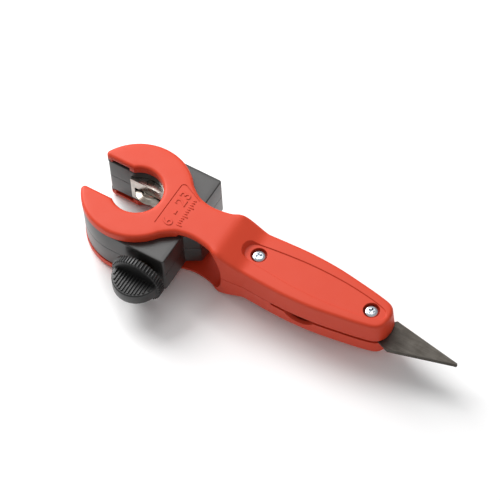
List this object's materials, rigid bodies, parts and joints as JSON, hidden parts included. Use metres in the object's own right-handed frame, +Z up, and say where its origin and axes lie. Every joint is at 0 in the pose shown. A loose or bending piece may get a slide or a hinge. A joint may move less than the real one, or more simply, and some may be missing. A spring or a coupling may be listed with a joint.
{
  "type": "ratcheting tube cutter",
  "caption": "Handheld tube cutter with a C-shaped ratcheting head, a knurled feed knob, a two-shell handle and a fold-out deburring blade.",
  "frame": {"origin": "centre of the bounding box's footprint, on the surface that the tool lies on", "axes": "+X along the handle from the ring to the blade's tip, +Z up through the ring's bore, -Y out of the feed knob"},
  "size_m": [0.2408, 0.0894, 0.0415],
  "materials": {
    "red_plastic": "satin glass-filled nylon",
    "black_plastic": "satin black plastic",
    "knob_plastic": "fine textured black plastic",
    "zinc_steel": "zinc plated",
    "bright_steel": "ground and polished",
    "blade_steel": "dark oxide finish",
    "brass": "turned"
  },
  "bodies": {
    "handle": {"upper_shell": "red_plastic", "lower_shell": "red_plastic", "upper_ratchet_ring": "bright_steel", "lower_ratchet_ring": "bright_steel", "front_case_screw": "zinc_steel", "rear_case_screw": "zinc_steel", "front_case_nut": "zinc_steel", "rear_case_nut": "zinc_steel", "pivot_bush": "bright_steel"},
    "head": {"head_upper": "black_plastic", "head_lower": "black_plastic", "head_screw_1": "zinc_steel", "head_screw_2": "zinc_steel", "head_screw_3": "zinc_steel", "head_screw_4": "zinc_steel", "front_roller_pin": "bright_steel", "rear_roller_pin": "bright_steel", "feed_bush": "brass", "pawl_spring": "bright_steel"},
    "pawl": {"pawl": "bright_steel"},
    "feed": {"feed_screw": "bright_steel", "feed_clip": "bright_steel", "knob": "knob_plastic"},
    "wheel_carriage": {"carriage": "bright_steel", "feed_nut": "brass", "wheel_pin": "bright_steel"},
    "wheel": {"cutting_wheel": "bright_steel"},
    "roller_front": {"front_roller": "bright_steel"},
    "roller_rear": {"rear_roller": "bright_steel"},
    "blade": {"deburring_blade": "blade_steel"}
  },
  "joints": [
    {"name": "head_swivel", "type": "hinge", "parent": "handle", "child": "head", "pos_m": [-0.09097, 0.0117, 0.02075], "axis": [0, 0, 1], "continuous": true},
    {"name": "pawl_slide", "type": "slide", "parent": "head", "child": "pawl", "axis": [1, 0, 0], "range_m": [0, 0.0016], "stiffness_N_per_m": 900, "springref_m": -0.003, "deforming": ["pawl_spring"]},
    {"name": "knob_turn", "type": "hinge", "parent": "head", "child": "feed", "pos_m": [-0.06647, -0.0283, 0.02075], "axis": [0, 1, 0], "range_deg": [-1681, 3361]},
    {"name": "carriage_slide", "type": "slide", "parent": "head", "child": "wheel_carriage", "axis": [0, -1, 0], "range_m": [-0.007, 0.014]},
    {"name": "wheel_spin", "type": "hinge", "parent": "wheel_carriage", "child": "wheel", "pos_m": [-0.09097, 0.0251, 0.02075], "axis": [0, 0, 1], "continuous": true},
    {"name": "front_roller_spin", "type": "hinge", "parent": "head", "child": "roller_front", "pos_m": [-0.09797, -0.0052, 0.02075], "axis": [0, 0, 1], "continuous": true},
    {"name": "rear_roller_spin", "type": "hinge", "parent": "head", "child": "roller_rear", "pos_m": [-0.08397, -0.0052, 0.02075], "axis": [0, 0, 1], "continuous": true},
    {"name": "blade_fold", "type": "hinge", "parent": "handle", "child": "blade", "pos_m": [0.06503, 0.0117, 0.02075], "axis": [0, 0, 1], "range_deg": [-168, 0]}
  ],
  "couplings": [
    {"joint": "knob_turn", "follows": "carriage_slide", "rad_per_m": 4188.8}
  ]
}
